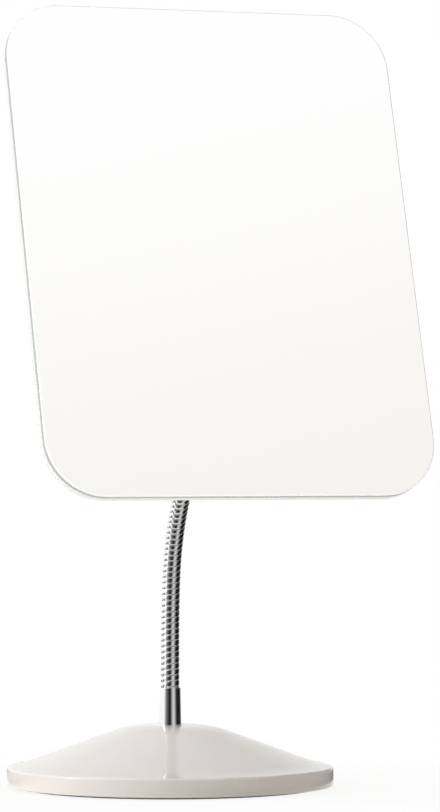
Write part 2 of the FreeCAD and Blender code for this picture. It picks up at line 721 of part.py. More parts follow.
def biarc(start, start_direction, finish, finish_direction):
    """Join two points with two tangent arcs."""
    gap = finish - start
    both = start_direction + finish_direction
    spread = 2 * (1 - start_direction.dot(finish_direction))
    across = gap.dot(both)
    reach = (math.sqrt(across ** 2 + spread * gap.dot(gap)) - across) / spread
    first = start + start_direction * reach
    second = finish - finish_direction * reach
    middle = (first + second) * 0.5
    return [tangent_arc(start, first, middle), tangent_arc(middle, second, finish)]


def wind(neck, start, finish, radius, wire, phase):
    """Sweep a round wire along a helix about the neck's line, as biarcs of a quarter turn."""
    steps = math.ceil((finish - start) / (neck.pitch / 4))
    runs = [start + (finish - start) * step / steps for step in range(steps + 1)]
    nodes = [neck.wire_point(run, radius, phase) for run in runs]
    edges = []
    for (point, direction), (next_point, next_direction) in zip(nodes, nodes[1:]):
        edges += biarc(point, direction, next_point, next_direction)
    path = Part.Wire(edges)
    section = Part.Wire(Part.Circle(nodes[0][0], nodes[0][1], wire / 2).toShape())
    solid = path.makePipeShell([section], True, False)
    expected = math.pi * wire ** 2 / 4 * path.Length
    if abs(solid.Volume / expected - 1) > VOLUME_SLACK_SHARE:
        raise RuntimeError("a winding's volume isn't its section times its length")
    return solid


def add_winding(label, solid):
    made = doc.addObject("Part::Feature", label)
    made.Label = label
    made.Shape = solid
    made.Placement = FreeCAD.Placement()
    pieces.append(made)


def make_neck():
    """Wind the outer wire and the inner spring in lengths that meet at the neck's hinges."""
    neck = Neck()
    cut = neck.wire_run(value("Sizes.wire_end_gap") / 2, neck.radius)
    places = ["foot"] + [f"{number:02d}" for number in range(1, LINKS + 1)] + ["head"]
    bounds = [-neck.insert] + [neck.hinge(number) for number in range(LINKS + 1)] + [neck.run + neck.insert]
    for place, start, finish in zip(places, bounds, bounds[1:]):
        wire_start = start if place == "foot" else start + cut
        wire_finish = finish if place == "head" else finish - cut
        add_winding(f"neck_wire_{place}", wind(neck, wire_start, wire_finish, neck.radius, neck.wire, 0.0))
        # The spring lies half a turn on, in the groove between the wire's turns, and ends short of a hinge
        spring_start = start if place == "foot" else start + neck.pitch
        spring_finish = finish if place == "head" else finish - neck.pitch
        add_winding(f"neck_spring_{place}",
                    wind(neck, spring_start, spring_finish, neck.spring_radius, neck.spring_wire, math.pi))
    print_neck(neck)


def print_neck(neck):
    """Measure the winding's least gap to itself on points, and print it with the hinges' places."""
    step = neck.pitch / GAP_POINTS_PER_TURN
    count = int((neck.run + 2 * neck.insert) / step)
    points = [neck.wire_point(-neck.insert + step * number, neck.radius, 0.0)[0] for number in range(count)]
    least = math.inf
    for first, point in enumerate(points):
        for other in points[first + GAP_POINTS_PER_TURN // 2:first + GAP_POINTS_PER_TURN * 3 // 2]:
            least = min(least, (other - point).Length)
    print(f"neck: {neck.run:.1f} mm, pitch {neck.pitch:.3f} mm, {neck.link_turns} turns in a link,"
          f" least gap {least - neck.wire:.3f} mm")
    for number in range(LINKS + 1):
        point, along, normal, curvature = neck.frame(neck.hinge(number))
        axis = Vector(1, 0, 0) if number % 2 == 0 else normal
        print(f"hinge {number + 1}: pos {point.x:.4f} {point.y:.4f} {point.z:.4f}"
              f" axis {axis.x:.6f} {axis.y:.6f} {axis.z:.6f}")


make_base_shell()
make_base_cover()
make_cover_screws()
make_base_pad()
make_base_ballast()
make_base_fixings()
make_lower_ferrule()
make_upper_ferrule()
make_mirror_glass()
make_back_panel()
make_hub_nut()
make_adhesive_pads()
make_neck()
doc.recompute()

failed = [item.Label for item in doc.Objects if "Invalid" in item.State or "Error" in item.State]
failed += [piece.Label for piece in pieces if piece.Shape.isNull() or not piece.Shape.isValid()]
if failed:
    raise RuntimeError(f"these didn't build: {sorted(set(failed))}")

os.makedirs("parts", exist_ok=True)
for piece in pieces:
    piece.Shape.exportStep(f"parts/{piece.Label}.step")
    print(f"{piece.Label}: {len(piece.Shape.Solids)} solids, {piece.Shape.Volume / 1000:.3f} cm3")
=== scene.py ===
"""Looks of a frameless makeup mirror on a chromed flexible neck and a weighted round base.

Lengths are in metres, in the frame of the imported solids: +Z up, origin under the middle of the base,
the pane facing -Y. The pane's own axes are X across, Y up the pane and Z out of its front.
"""
import bmesh
import bpy
import json
import math
from bpy.props import FloatProperty, FloatVectorProperty, IntProperty, PointerProperty
from mathutils import Matrix, Vector

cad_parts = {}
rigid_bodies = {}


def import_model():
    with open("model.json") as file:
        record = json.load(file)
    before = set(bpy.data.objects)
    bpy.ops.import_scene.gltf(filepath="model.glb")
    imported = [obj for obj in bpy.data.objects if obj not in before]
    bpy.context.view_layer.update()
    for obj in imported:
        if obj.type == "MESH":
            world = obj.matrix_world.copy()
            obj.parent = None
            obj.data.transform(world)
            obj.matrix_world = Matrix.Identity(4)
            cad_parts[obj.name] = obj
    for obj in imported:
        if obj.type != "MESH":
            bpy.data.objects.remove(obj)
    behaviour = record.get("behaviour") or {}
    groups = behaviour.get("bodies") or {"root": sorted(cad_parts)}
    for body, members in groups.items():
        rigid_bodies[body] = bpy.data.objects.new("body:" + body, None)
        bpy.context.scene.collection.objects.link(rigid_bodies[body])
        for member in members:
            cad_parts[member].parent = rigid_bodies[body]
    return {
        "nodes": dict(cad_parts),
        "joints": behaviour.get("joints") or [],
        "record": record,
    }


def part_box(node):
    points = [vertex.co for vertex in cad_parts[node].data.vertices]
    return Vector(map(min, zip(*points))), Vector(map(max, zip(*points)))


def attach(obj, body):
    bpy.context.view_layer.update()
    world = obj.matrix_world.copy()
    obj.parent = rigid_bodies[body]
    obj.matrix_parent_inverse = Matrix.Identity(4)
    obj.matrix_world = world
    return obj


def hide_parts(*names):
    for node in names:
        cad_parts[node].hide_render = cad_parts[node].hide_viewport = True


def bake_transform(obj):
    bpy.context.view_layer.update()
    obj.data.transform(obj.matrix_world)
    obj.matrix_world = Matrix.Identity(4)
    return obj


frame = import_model()
for leftover in ("Cube", "Light", "Camera"):
    if leftover in bpy.data.objects:
        bpy.data.objects.remove(bpy.data.objects[leftover])
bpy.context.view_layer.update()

bl_info = {
    "name": "Makeup Mirror",
    "version": (1, 0, 0),
    "blender": (4, 5, 0),
    "location": "View3D > Sidebar > Mirror",
    "description": "Dresses the solids of a makeup mirror on a flexible neck",
    "category": "Object",
}

WHITE = (1.0, 1.0, 1.0, 1.0)
BLACK = (0.0, 0.0, 0.0, 1.0)
ORIGIN = (0.0, 0.0, 0.0)
FULL_TURN = 2 * math.pi
# Share of a size within which two places count as one
NEAR_SHARE = 0.01
# How much of its normal points out of the pane on a flat face, and at least on the front arris
FLAT_SHARE = 0.99
ARRIS_SHARE = 0.3
# Values between which nearly all of a noise lies
NOISE_LOW = 0.3
NOISE_HIGH = 0.7
# Shades of light that the card glows with and the chrome reflects as painted reflections, by degrees round
# the object from +X
CARD_SHADES = (
    (-178.0, 1.0), (-172.0, 0.80), (-163.0, 0.42), (-150.0, 0.18), (-140.0, 0.11), (-122.0, 0.02),
    (-107.0, 0.02), (-85.0, 0.48), (-75.0, 0.72), (-62.0, 0.42), (-48.0, 0.13), (-38.0, 0.02),
    (-5.0, 0.0), (12.0, 0.03), (42.0, 0.42), (60.0, 0.80), (75.0, 0.05), (110.0, 0.05),
    (128.0, 0.60), (142.0, 0.60), (155.0, 0.08), (168.0, 0.30), (178.0, 1.0),
)
# Where the card's wall starts and ends
CARD_WALL = (-178.0, 46.0)


# Settings
def length(name, description, default):
    return FloatProperty(name=name, description=description, default=default, unit="LENGTH", precision=5)


def place(name, description, default):
    return FloatVectorProperty(name=name, description=description, default=default, subtype="TRANSLATION",
                               unit="LENGTH")


def power(name, description, default):
    return FloatProperty(name=name, description=description, default=default, unit="POWER")


def colour(name, description, default):
    return FloatVectorProperty(name=name, description=description, default=default, subtype="COLOR",
                               size=4, min=0, max=1)


class NeckSettings(bpy.types.PropertyGroup):
    """Sizes of the flexible neck's two windings"""
    turns_per_link: FloatProperty(name="Turns per link", default=4.75,
                                  description="Turns of wire between two neighbouring bending places")
    rib_width: length("Rib width", "Width of the outer wire, along the neck", 0.00222)
    rib_depth: length("Rib depth", "Thickness of the outer wire, across the neck", 0.0005)
    core_wire: length("Core wire", "Diameter of the inner spring's wire", 0.0011)
    wire_sides: IntProperty(name="Wire sides", default=18, description="Points round the wire")
    turn_steps: IntProperty(name="Turn steps", default=44, description="Rings of points in one turn")
    line_steps: IntProperty(name="Line steps", default=24,
                            description="Points of the neck's line between two bending places")


class PaneSettings(bpy.types.PropertyGroup):
    """Sizes of the pane"""
    corner_radius: length("Corner radius", "Radius of the pane's corners", 0.023)
    corner_steps: IntProperty(name="Corner steps", default=24, description="Faces round a corner")
    arris: length("Arris", "Width of the bevel at the pane's edge", 0.0005)


class FoamSettings(bpy.types.PropertyGroup):
    """Sizes of the foam pad and the foam tape"""
    pad_round: length("Pad round", "Rounding of the base pad's edge", 0.0005)
    pad_sides: IntProperty(name="Pad sides", default=160, description="Faces round the base pad")
    tape_width: length("Tape width", "Width of one strip of tape", 0.014)
    tape_round: length("Tape round", "Rounding of the tape's edge", 0.0002)
    tape_corner: length("Tape corner", "Radius of the tape's corners", 0.0008)
    round_steps: IntProperty(name="Round steps", default=4, description="Faces across a rounding")


class ColourSettings(bpy.types.PropertyGroup):
    """Colours of the finishes"""
    chrome: colour("Chrome", "Plating on the neck and the ferrules", (0.93, 0.93, 0.932, 1.0))
    spring_steel: colour("Spring steel", "Wire of the inner spring", (0.16, 0.155, 0.15, 1.0))
    base_plastic: colour("Base plastic", "Glossy warm white of the base", (0.83, 0.815, 0.79, 1.0))
    panel_plastic: colour("Panel plastic", "Satin plastic behind the pane", (0.765, 0.78, 0.77, 1.0))
    cover_plastic: colour("Cover plastic", "Plate under the base", (0.70, 0.69, 0.67, 1.0))
    ground_edge: colour("Ground edge", "Frosted edge of the pane", (0.42, 0.465, 0.46, 1.0))
    polished_arris: colour("Polished arris", "Bevel round the pane's front", (0.86, 0.88, 0.88, 1.0))
    silver: colour("Silver", "Silvering of the pane's front", (0.998, 0.998, 0.998, 1.0))
    coat_paint: colour("Coat paint", "Paint on the back of the pane", (0.20, 0.22, 0.23, 1.0))
    foam: colour("Foam", "Pad under the base", (0.62, 0.62, 0.60, 1.0))
    tape: colour("Tape", "Tape between pane and panel", (0.72, 0.72, 0.70, 1.0))
    zinc: colour("Zinc", "Plating of the nuts, washers and screws", (0.60, 0.61, 0.62, 1.0))
    ballast: colour("Ballast", "Steel disc inside the base", (0.34, 0.34, 0.345, 1.0))


class StageSettings(bpy.types.PropertyGroup):
    """Camera, light and background"""
    camera_place: place("Camera place", "Where the camera is", (-0.5894, -1.6368, 0.1398))
    camera_aim: place("Camera aim", "What the middle of the picture shows", (0.0187, -0.0070, 0.1531))
    lens: FloatProperty(name="Lens", default=191.9, description="Focal length in millimetres")
    floor_size: length("Floor size", "Side of the square floor", 12.0)
    floor_drop: length("Floor drop", "Gap between the floor and the pad on it", 0.0002)
    floor_colour: colour("Floor colour", "Pale floor", (0.88, 0.84, 0.79, 1.0))
    shadow_reach: length("Shadow reach", "Distance at which the floor turns plain white", 0.18)
    shadow_share: FloatProperty(name="Shadow share", default=0.15, subtype="FACTOR",
                                description="How much of its shade the floor shows")
    sky_strength: FloatProperty(name="Sky strength", default=0.25, description="Light from all round")
    sky_colour: colour("Sky colour", "Colour of the light from all round", (1.0, 0.93, 0.84, 1.0))
    band_colour: colour("Band colour", "Sky that the pane's lower part reflects", (0.91, 0.885, 0.845, 1.0))
    band_start: FloatProperty(name="Band start", default=0.40,
                              description="Height where the warmer sky starts")
    band_middle: FloatProperty(name="Band middle", default=0.51, description="Height of the warmest sky")
    band_end: FloatProperty(name="Band end", default=0.60, description="Height where the sky is white again")
    key_power: power("Key power", "Power of the lamp at the left", 17.0)
    key_size: length("Key size", "Side of the lamp at the left", 1.0)
    key_place: place("Key place", "Where the lamp at the left is", (-1.5, -0.2, 0.65))
    top_power: power("Top power", "Power of the lamp above", 9.0)
    top_size: length("Top size", "Side of the lamp above", 1.4)
    top_place: place("Top place", "Where the lamp above is", (-0.2, 0.2, 1.5))
    rim_power: power("Rim power", "Power of the lamp at the right", 3.5)
    rim_size: length("Rim size", "Side of the lamp at the right", 0.6)
    rim_place: place("Rim place", "Where the lamp at the right is", (1.19, -0.12, 0.2))
    fill_power: power("Fill power", "Power of the lamp that lies in front", 1.4)
    fill_size: length("Fill size", "Side of the lamp that lies in front", 0.6)
    fill_place: place("Fill place", "Where the lamp in front lies", (0.0, -0.42, 0.003))
    card_near: length("Card near", "Where the card starts, from the middle of the base", 0.075)
    card_far: length("Card far", "Where the card turns up, from the middle of the base", 0.42)
    card_height: length("Card height", "Height of the card", 0.45)
    card_lift: length("Card lift", "Gap between the card and the floor", 0.001)
    card_sides: IntProperty(name="Card sides", default=180, description="Faces of a whole ring of the card")


# Nodes of a material
def add_node(tree, kind, inputs=None, **settings):
    made = tree.nodes.new(kind)
    for name, value in settings.items():
        setattr(made, name, value)
    for name, value in (inputs or {}).items():
        made.inputs[name].default_value = value
    return made


def join(tree, source, output, target, socket):
    tree.links.new(source.outputs[output], target.inputs[socket])


def new_finish(name, **sockets):
    """Make a material whose shader has these values; a word's underscores stand for spaces."""
    material = bpy.data.materials.new(name)
    material.use_nodes = True
    shader = shader_of(material)
    for socket, value in sockets.items():
        shader.inputs[socket.replace("_", " ")].default_value = value
    return material


def shader_of(material):
    return material.node_tree.nodes["Principled BSDF"]


def add_noise(material, scale, detail=3.0, stretch=(1.0, 1.0, 1.0)):
    """Add a noise that lies still on the piece, with about this many grains to a metre."""
    tree = material.node_tree
    places = add_node(tree, "ShaderNodeTexCoord")
    mapping = add_node(tree, "ShaderNodeMapping", {"Scale": stretch})
    noise = add_node(tree, "ShaderNodeTexNoise", {"Scale": scale, "Detail": detail})
    join(tree, places, "Object", mapping, "Vector")
    join(tree, mapping, "Vector", noise, "Vector")
    return noise


def vary(material, noise, socket, low, high):
    """Let one socket of the shader wander between two values."""
    tree = material.node_tree
    limits = {"From Min": NOISE_LOW, "From Max": NOISE_HIGH, "To Min": low, "To Max": high}
    spread = add_node(tree, "ShaderNodeMapRange", limits)
    join(tree, noise, "Fac", spread, "Value")
    join(tree, spread, "Result", shader_of(material), socket)


def vary_colour(material, noise, shade, low, high):
    """Let the base colour wander between two shares of a colour's brightness."""
    tree = material.node_tree
    ramp = add_node(tree, "ShaderNodeValToRGB")
    for element, share in zip(ramp.color_ramp.elements, (low, high)):
        element.color = shaded(shade, share)
    join(tree, noise, "Fac", ramp, "Fac")
    join(tree, ramp, "Color", shader_of(material), "Base Color")


def roughen(material, texture, output, strength, depth):
    """Raise and sink the surface by a texture, up to a depth in metres."""
    tree = material.node_tree
    bump = add_node(tree, "ShaderNodeBump", {"Strength": strength, "Distance": depth})
    join(tree, texture, output, bump, "Height")
    join(tree, bump, "Normal", shader_of(material), "Normal")


def shaded(shade, share):
    """Give a colour at a share of its brightness."""
    return tuple(share * part for part in shade[:3]) + (1.0,)


# Finishes
def chrome_finish(colours):
    chrome = new_finish("chrome_plating", Base_Color=colours.chrome, Metallic=1.0)
    vary(chrome, add_noise(chrome, scale=420.0), "Roughness", low=0.035, high=0.085)
    return chrome


def spring_finish(colours):
    steel = new_finish("spring_steel_wire", Base_Color=colours.spring_steel, Metallic=1.0)
    vary(steel, add_noise(steel, scale=900.0), "Roughness", low=0.22, high=0.42)
    return steel


def base_finish(colours):
    plastic = new_finish("base_gloss_plastic", Base_Color=colours.base_plastic)
    vary(plastic, add_noise(plastic, scale=900.0), "Roughness", low=0.13, high=0.17)
    roughen(plastic, add_noise(plastic, scale=1400.0, detail=1.0), "Fac", strength=0.03, depth=0.0001)
    return plastic


def panel_finish(colours):
    plastic = new_finish("panel_satin_plastic")
    vary_colour(plastic, add_noise(plastic, scale=35.0), colours.panel_plastic, low=0.97, high=1.0)
    vary(plastic, add_noise(plastic, scale=60.0), "Roughness", low=0.40, high=0.52)
    roughen(plastic, add_noise(plastic, scale=2600.0, detail=2.0), "Fac", strength=0.1, depth=0.00005)
    return plastic


def cover_finish(colours):
    plastic = new_finish("cover_matt_plastic", Base_Color=colours.cover_plastic)
    vary(plastic, add_noise(plastic, scale=80.0), "Roughness", low=0.52, high=0.66)
    roughen(plastic, add_noise(plastic, scale=1500.0, detail=2.0), "Fac", strength=0.25, depth=0.0002)
    return plastic


def ground_glass_finish(colours):
    glass = new_finish("ground_glass_edge", IOR=1.52, Specular_IOR_Level=0.3)
    vary(glass, add_noise(glass, scale=1500.0), "Roughness", low=0.52, high=0.62)
    vary_colour(glass, add_noise(glass, scale=500.0), colours.ground_edge, low=0.95, high=1.03)
    return glass


def arris_finish(colours):
    glass = new_finish("polished_arris", IOR=1.52)
    vary(glass, add_noise(glass, scale=900.0), "Roughness", low=0.18, high=0.30)
    vary_colour(glass, add_noise(glass, scale=300.0), colours.polished_arris, low=0.97, high=1.0)
    return glass


def silver_finish(colours):
    silver = new_finish("silvering", Metallic=1.0, Roughness=0.0)
    vary_colour(silver, add_noise(silver, scale=25.0), colours.silver, low=0.995, high=1.0)
    return silver


def coat_paint_finish(colours):
    paint = new_finish("coat_paint", Base_Color=colours.coat_paint)
    vary(paint, add_noise(paint, scale=90.0), "Roughness", low=0.5, high=0.65)
    return paint


def foam_finish(name, shade):
    foam = new_finish(name, Specular_IOR_Level=0.25)
    vary(foam, add_noise(foam, scale=240.0), "Roughness", low=0.80, high=0.95)
    vary_colour(foam, add_noise(foam, scale=700.0), shade, low=0.75, high=1.15)
    tree = foam.node_tree
    places = add_node(tree, "ShaderNodeTexCoord")
    cells = add_node(tree, "ShaderNodeTexVoronoi", {"Scale": 1900.0})
    join(tree, places, "Object", cells, "Vector")
    roughen(foam, cells, "Distance", strength=0.5, depth=0.0003)
    return foam


def zinc_finish(colours):
    zinc = new_finish("zinc_plating", Metallic=1.0)
    vary(zinc, add_noise(zinc, scale=500.0), "Roughness", low=0.24, high=0.40)
    vary_colour(zinc, add_noise(zinc, scale=260.0), colours.zinc, low=0.86, high=1.08)
    return zinc


def ballast_finish(colours):
    steel = new_finish("rolled_steel", Metallic=1.0)
    rolled = add_noise(steel, scale=300.0, stretch=(1.0, 12.0, 1.0))
    vary(steel, rolled, "Roughness", low=0.34, high=0.55)
    vary_colour(steel, add_noise(steel, scale=45.0), colours.ballast, low=0.8, high=1.1)
    return steel


def coat_node(name, finish):
    """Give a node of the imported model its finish."""
    node = frame["nodes"][name]
    if node.material_slots:
        for slot in node.material_slots:
            slot.material = finish
    else:
        node.data.materials.append(finish)


# Making a piece
def deselect():
    """Go back to object mode with nothing selected."""
    if bpy.context.object and bpy.context.object.mode != "OBJECT":
        bpy.ops.object.mode_set(mode="OBJECT")
    bpy.ops.object.select_all(action="DESELECT")


def begin_shaping(kind):
    """Enter edit mode with nothing selected and give the mesh to select in."""
    bpy.ops.object.mode_set(mode="EDIT")
    bpy.ops.mesh.select_mode(type=kind)
    bpy.ops.mesh.select_all(action="DESELECT")
    return bmesh.from_edit_mesh(bpy.context.object.data)


def pick(items, wanted):
    """Select the edges or faces that a test picks out."""
    for item in items:
        item.select_set(bool(wanted(item)))
    bmesh.update_edit_mesh(bpy.context.object.data)


def end_shaping():
    bpy.ops.object.mode_set(mode="OBJECT")


def resize_all(factors):
    begin_shaping("VERT")
    bpy.ops.mesh.select_all(action="SELECT")
    bpy.ops.transform.resize(value=factors, center_override=ORIGIN)
    end_shaping()


def apply_place(piece, matrix):
    """Turn and move a piece into place, and keep the place in its mesh."""
    piece.matrix_world = matrix
    bpy.ops.object.transform_apply(location=True, rotation=True, scale=True)


def finish_normals():
    begin_shaping("FACE")
    bpy.ops.mesh.select_all(action="SELECT")
    bpy.ops.mesh.normals_make_consistent(inside=False)
    end_shaping()


def upright(edge):
    """Tell whether an edge runs straight up."""
    first, second = edge.verts
    return (first.co.xy - second.co.xy).length < abs(first.co.z - second.co.z) * NEAR_SHARE


def flat_lying(edge, level, near):
    """Tell whether both ends of an edge lie at one level."""
    return all(abs(end.co.z - level) < near for end in edge.verts)


def slab(name, width, height, thickness, corner, steps, arris):
    """Make a plate with round corners and bevelled edges, its middle at the origin."""
    deselect()
    bpy.ops.mesh.primitive_cube_add(size=1.0)
    piece = bpy.context.object
    piece.name = name
    resize_all((width, height, thickness))
    shape = begin_shaping("EDGE")
    pick(shape.edges, upright)
    bpy.ops.mesh.bevel(offset=corner, segments=steps, affect="EDGES", clamp_overlap=False)
    end_shaping()
    near = thickness * NEAR_SHARE
    levels = (thickness / 2, -thickness / 2)
    shape = begin_shaping("EDGE")
    pick(shape.edges, lambda edge: any(flat_lying(edge, level, near) for level in levels))
    bpy.ops.mesh.bevel(offset=arris, segments=1, affect="EDGES", clamp_overlap=False)
    end_shaping()
    finish_normals()
    return piece


def smooth(piece, angle):
    """Shade a piece smooth, apart from edges that turn by more than an angle in degrees."""
    deselect()
    piece.select_set(True)
    bpy.context.view_layer.objects.active = piece
    bpy.ops.object.shade_smooth_by_angle(angle=math.radians(angle))


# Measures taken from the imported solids
def pane_axes():
    """Give the matrix from the pane's own axes, at the middle of its front, to the frame."""
    glass = frame["nodes"]["mirror_glass"].data
    front = max((face for face in glass.polygons if face.normal.y < 0), key=lambda face: face.area)
    out = front.normal.normalized()
    across = Vector((1.0, 0.0, 0.0))
    up = out.cross(across)
    matrix = Matrix((across, up, out)).transposed().to_4x4()
    low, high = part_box("mirror_glass")
    matrix.translation = (low + high) / 2
    reach = max((matrix.inverted() @ corner.co).z for corner in glass.vertices)
    matrix.translation += out * reach
    return matrix


def box_along(node, axes):
    """Give a node's lowest and highest corner along other axes."""
    inverse = axes.inverted()
    places = [inverse @ corner.co for corner in frame["nodes"][node].data.vertices]
    low = Vector([min(place[side] for place in places) for side in range(3)])
    high = Vector([max(place[side] for place in places) for side in range(3)])
    return low, high


def neck_route():
    """Give the neck's foot, the lower mouth, its bending places in order, the upper mouth and its head."""
    hinges = [Vector(joint["pos_m"]) for joint in frame["joints"]]
    foot = Vector((0.0, 0.0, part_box("neck_wire_foot")[0].z))
    mouth = Vector((0.0, 0.0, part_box("lower_ferrule")[1].z))
    axes = pane_axes()
    nut_low, nut_high = box_along("hub_nut", axes)
    axis_place = (nut_low + nut_high) / 2
    upper_mouth = axes @ Vector((axis_place.x, axis_place.y, box_along("upper_ferrule", axes)[0].z))
    head = axes @ Vector((axis_place.x, axis_place.y, box_along("neck_wire_head", axes)[1].z))
    return foot, mouth, hinges, upper_mouth, head


def neck_line(steps):
    """Draw the neck's middle line, a smooth curve that the windings are laid along."""
    foot, mouth, hinges, upper_mouth, head = neck_route()
    places = [foot, mouth, *hinges, upper_mouth, head]
    deselect()
    bpy.ops.curve.primitive_bezier_curve_add()
    line = bpy.context.object
    line.data.twist_mode = "MINIMUM"
    line.data.use_deform_bounds = False
    spline = line.data.splines[0]
    spline.resolution_u = steps
    spline.bezier_points.add(len(places) - len(spline.bezier_points))
    for knot, knot_place in zip(spline.bezier_points, places):
        knot.co = knot_place
        knot.handle_left_type = "AUTO"
        knot.handle_right_type = "AUTO"
    return line


def neck_stretches():
    """Give each joint with its stretch of the neck: two runs from the foot, and where it starts and ends."""
    foot, mouth, hinges, upper_mouth, head = neck_route()
    middles = [(first + second) / 2 for first, second in zip(hinges, hinges[1:])]
    runs = [(hinges[0] - foot).length]
    for first, second in zip(hinges, hinges[1:]):
        runs.append(runs[-1] + (second - first).length)
    end_run = runs[-1] + (upper_mouth - hinges[-1]).length + (head - upper_mouth).length
    cuts = [0.0, *((first + second) / 2 for first, second in zip(runs, runs[1:])), end_run]
    starts = [mouth, *middles]
    ends = [*middles, upper_mouth]
    return list(zip(frame["joints"], cuts, cuts[1:], starts, ends))


def link_length():
    """Give the distance between two neighbouring bending places."""
    hinges = neck_route()[2]
    return (hinges[1] - hinges[0]).length


def wind(name, line, settings, coil_radius, width, depth, first_run, last_run, phase):
    """Wind one stretch of wire, with its phase as a share of a turn, and lay it along the neck's line."""
    pitch = link_length() / settings.turns_per_link
    turns = (last_run - first_run) / pitch
    angle = FULL_TURN * (first_run / pitch + phase)
    deselect()
    bpy.ops.mesh.primitive_circle_add(vertices=settings.wire_sides, radius=1.0,
                                      location=(coil_radius, 0.0, first_run),
                                      rotation=(math.pi / 2, 0.0, 0.0))
    wire = bpy.context.object
    wire.name = name
    wire.scale = (depth / 2, width / 2, 1.0)
    bpy.ops.object.transform_apply(location=True, rotation=True, scale=True)
    wire.rotation_euler = (0.0, 0.0, angle)
    bpy.ops.object.transform_apply(location=True, rotation=True, scale=True)
    bpy.ops.object.modifier_add(type="SCREW")
    screw = wire.modifiers[-1]
    screw.axis = "Z"
    screw.angle = FULL_TURN * turns
    screw.screw_offset = last_run - first_run
    screw.steps = round(turns * settings.turn_steps)
    screw.render_steps = screw.steps
    bpy.ops.object.modifier_apply(modifier=screw.name)
    bpy.ops.object.modifier_add(type="CURVE")
    bend = wire.modifiers[-1]
    bend.object = line
    bend.deform_axis = "POS_Z"
    bpy.ops.object.modifier_apply(modifier=bend.name)
    begin_shaping("FACE")
    bpy.ops.mesh.select_all(action="SELECT")
    bpy.ops.mesh.fill_holes(sides=0)
    end_shaping()
    finish_normals()
    smooth(wire, angle=60.0)
    return wire


def wind_neck(prefix, node_prefix, settings, coil_radius, width, depth, phase, finish):
    """Wind the whole neck in stretches that each bend across one joint."""
    bodies = frame["record"]["behaviour"]["bodies"]
    line = neck_line(settings.line_steps)
    for number, (joint, first_run, last_run, start, end) in enumerate(neck_stretches(), start=1):
        wire = wind(f"{prefix}_{number:02d}", line, settings, coil_radius, width, depth, first_run,
                    last_run, phase)
        wire.data.materials.append(finish)
        # The first stretch also stands for the wire that the base holds
        carriers = [joint["child"]] if number > 1 else [joint["parent"], joint["child"]]
        stood_for = [node for body in carriers for node in bodies[body] if node.startswith(node_prefix)]
        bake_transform(wire)
        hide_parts(*stood_for)
    bpy.data.objects.remove(line)


# Stage
def seen_share(tree):
    """Give a node that is 1 where the camera sees a thing, also in metal or through glass."""
    light_path = add_node(tree, "ShaderNodeLightPath")
    shiny = add_node(tree, "ShaderNodeMath", operation="MAXIMUM")
    seen = add_node(tree, "ShaderNodeMath", operation="MAXIMUM")
    join(tree, light_path, "Is Glossy Ray", shiny, 0)
    join(tree, light_path, "Is Transmission Ray", shiny, 1)
    join(tree, light_path, "Is Camera Ray", seen, 0)
    join(tree, shiny, "Value", seen, 1)
    return seen


def floor_finish(settings):
    """Paint the floor so that it shows part of the shade near the base and is plain white further off."""
    paint = new_finish("floor_paint", Base_Color=settings.floor_colour, Roughness=0.9)
    paint.cycles.emission_sampling = "NONE"
    tree = paint.node_tree
    glow = add_node(tree, "ShaderNodeEmission", {"Color": WHITE, "Strength": 1.0})
    places = add_node(tree, "ShaderNodeTexCoord")
    distance = add_node(tree, "ShaderNodeVectorMath", operation="LENGTH")
    fade = add_node(tree, "ShaderNodeMapRange", {"From Min": 0.0, "From Max": settings.shadow_reach,
                                                 "To Min": 1.0 - settings.shadow_share, "To Max": 1.0})
    share = add_node(tree, "ShaderNodeMath", operation="MULTIPLY")
    mix = add_node(tree, "ShaderNodeMixShader")
    join(tree, places, "Object", distance, 0)
    join(tree, distance, "Value", fade, "Value")
    join(tree, fade, "Result", share, 0)
    join(tree, seen_share(tree), "Value", share, 1)
    join(tree, share, "Value", mix, 0)
    join(tree, shader_of(paint), "BSDF", mix, 1)
    join(tree, glow, "Emission", mix, 2)
    join(tree, mix, "Shader", tree.nodes["Material Output"], "Surface")
    return paint


def make_floor(settings):
    deselect()
    bpy.ops.mesh.primitive_plane_add(size=settings.floor_size, location=(0.0, 0.0, -settings.floor_drop))
    floor = bpy.context.object
    floor.name = "floor"
    floor.data.materials.append(floor_finish(settings))


def make_sky(context, settings):
    """Light the object from all round, and show a white background with a warmer band for the pane."""
    world = bpy.data.worlds.new("studio")
    context.scene.world = world
    world.use_nodes = True
    tree = world.node_tree
    light = tree.nodes["Background"]
    light.inputs["Color"].default_value = settings.sky_colour
    light.inputs["Strength"].default_value = settings.sky_strength
    places = add_node(tree, "ShaderNodeTexCoord")
    split = add_node(tree, "ShaderNodeSeparateXYZ")
    height = add_node(tree, "ShaderNodeMapRange", {"From Min": settings.band_start,
                                                   "From Max": settings.band_end})
    ramp = add_node(tree, "ShaderNodeValToRGB")
    band_span = settings.band_end - settings.band_start
    band = ramp.color_ramp.elements.new((settings.band_middle - settings.band_start) / band_span)
    band.color = settings.band_colour
    for end in (ramp.color_ramp.elements[0], ramp.color_ramp.elements[-1]):
        end.color = WHITE
    light_path = add_node(tree, "ShaderNodeLightPath")
    shown = add_node(tree, "ShaderNodeMix", {"B": WHITE}, data_type="RGBA")
    backdrop = add_node(tree, "ShaderNodeBackground", {"Strength": 1.0})
    mix = add_node(tree, "ShaderNodeMixShader")
    join(tree, places, "Generated", split, "Vector")
    join(tree, split, "Z", height, "Value")
    join(tree, height, "Result", ramp, "Fac")
    join(tree, light_path, "Is Camera Ray", shown, "Factor")
    join(tree, ramp, "Color", shown, "A")
    join(tree, shown, "Result", backdrop, "Color")
    join(tree, seen_share(tree), "Value", mix, 0)
    join(tree, light, "Background", mix, 1)
    join(tree, backdrop, "Background", mix, 2)
    join(tree, mix, "Shader", tree.nodes["World Output"], "Surface")


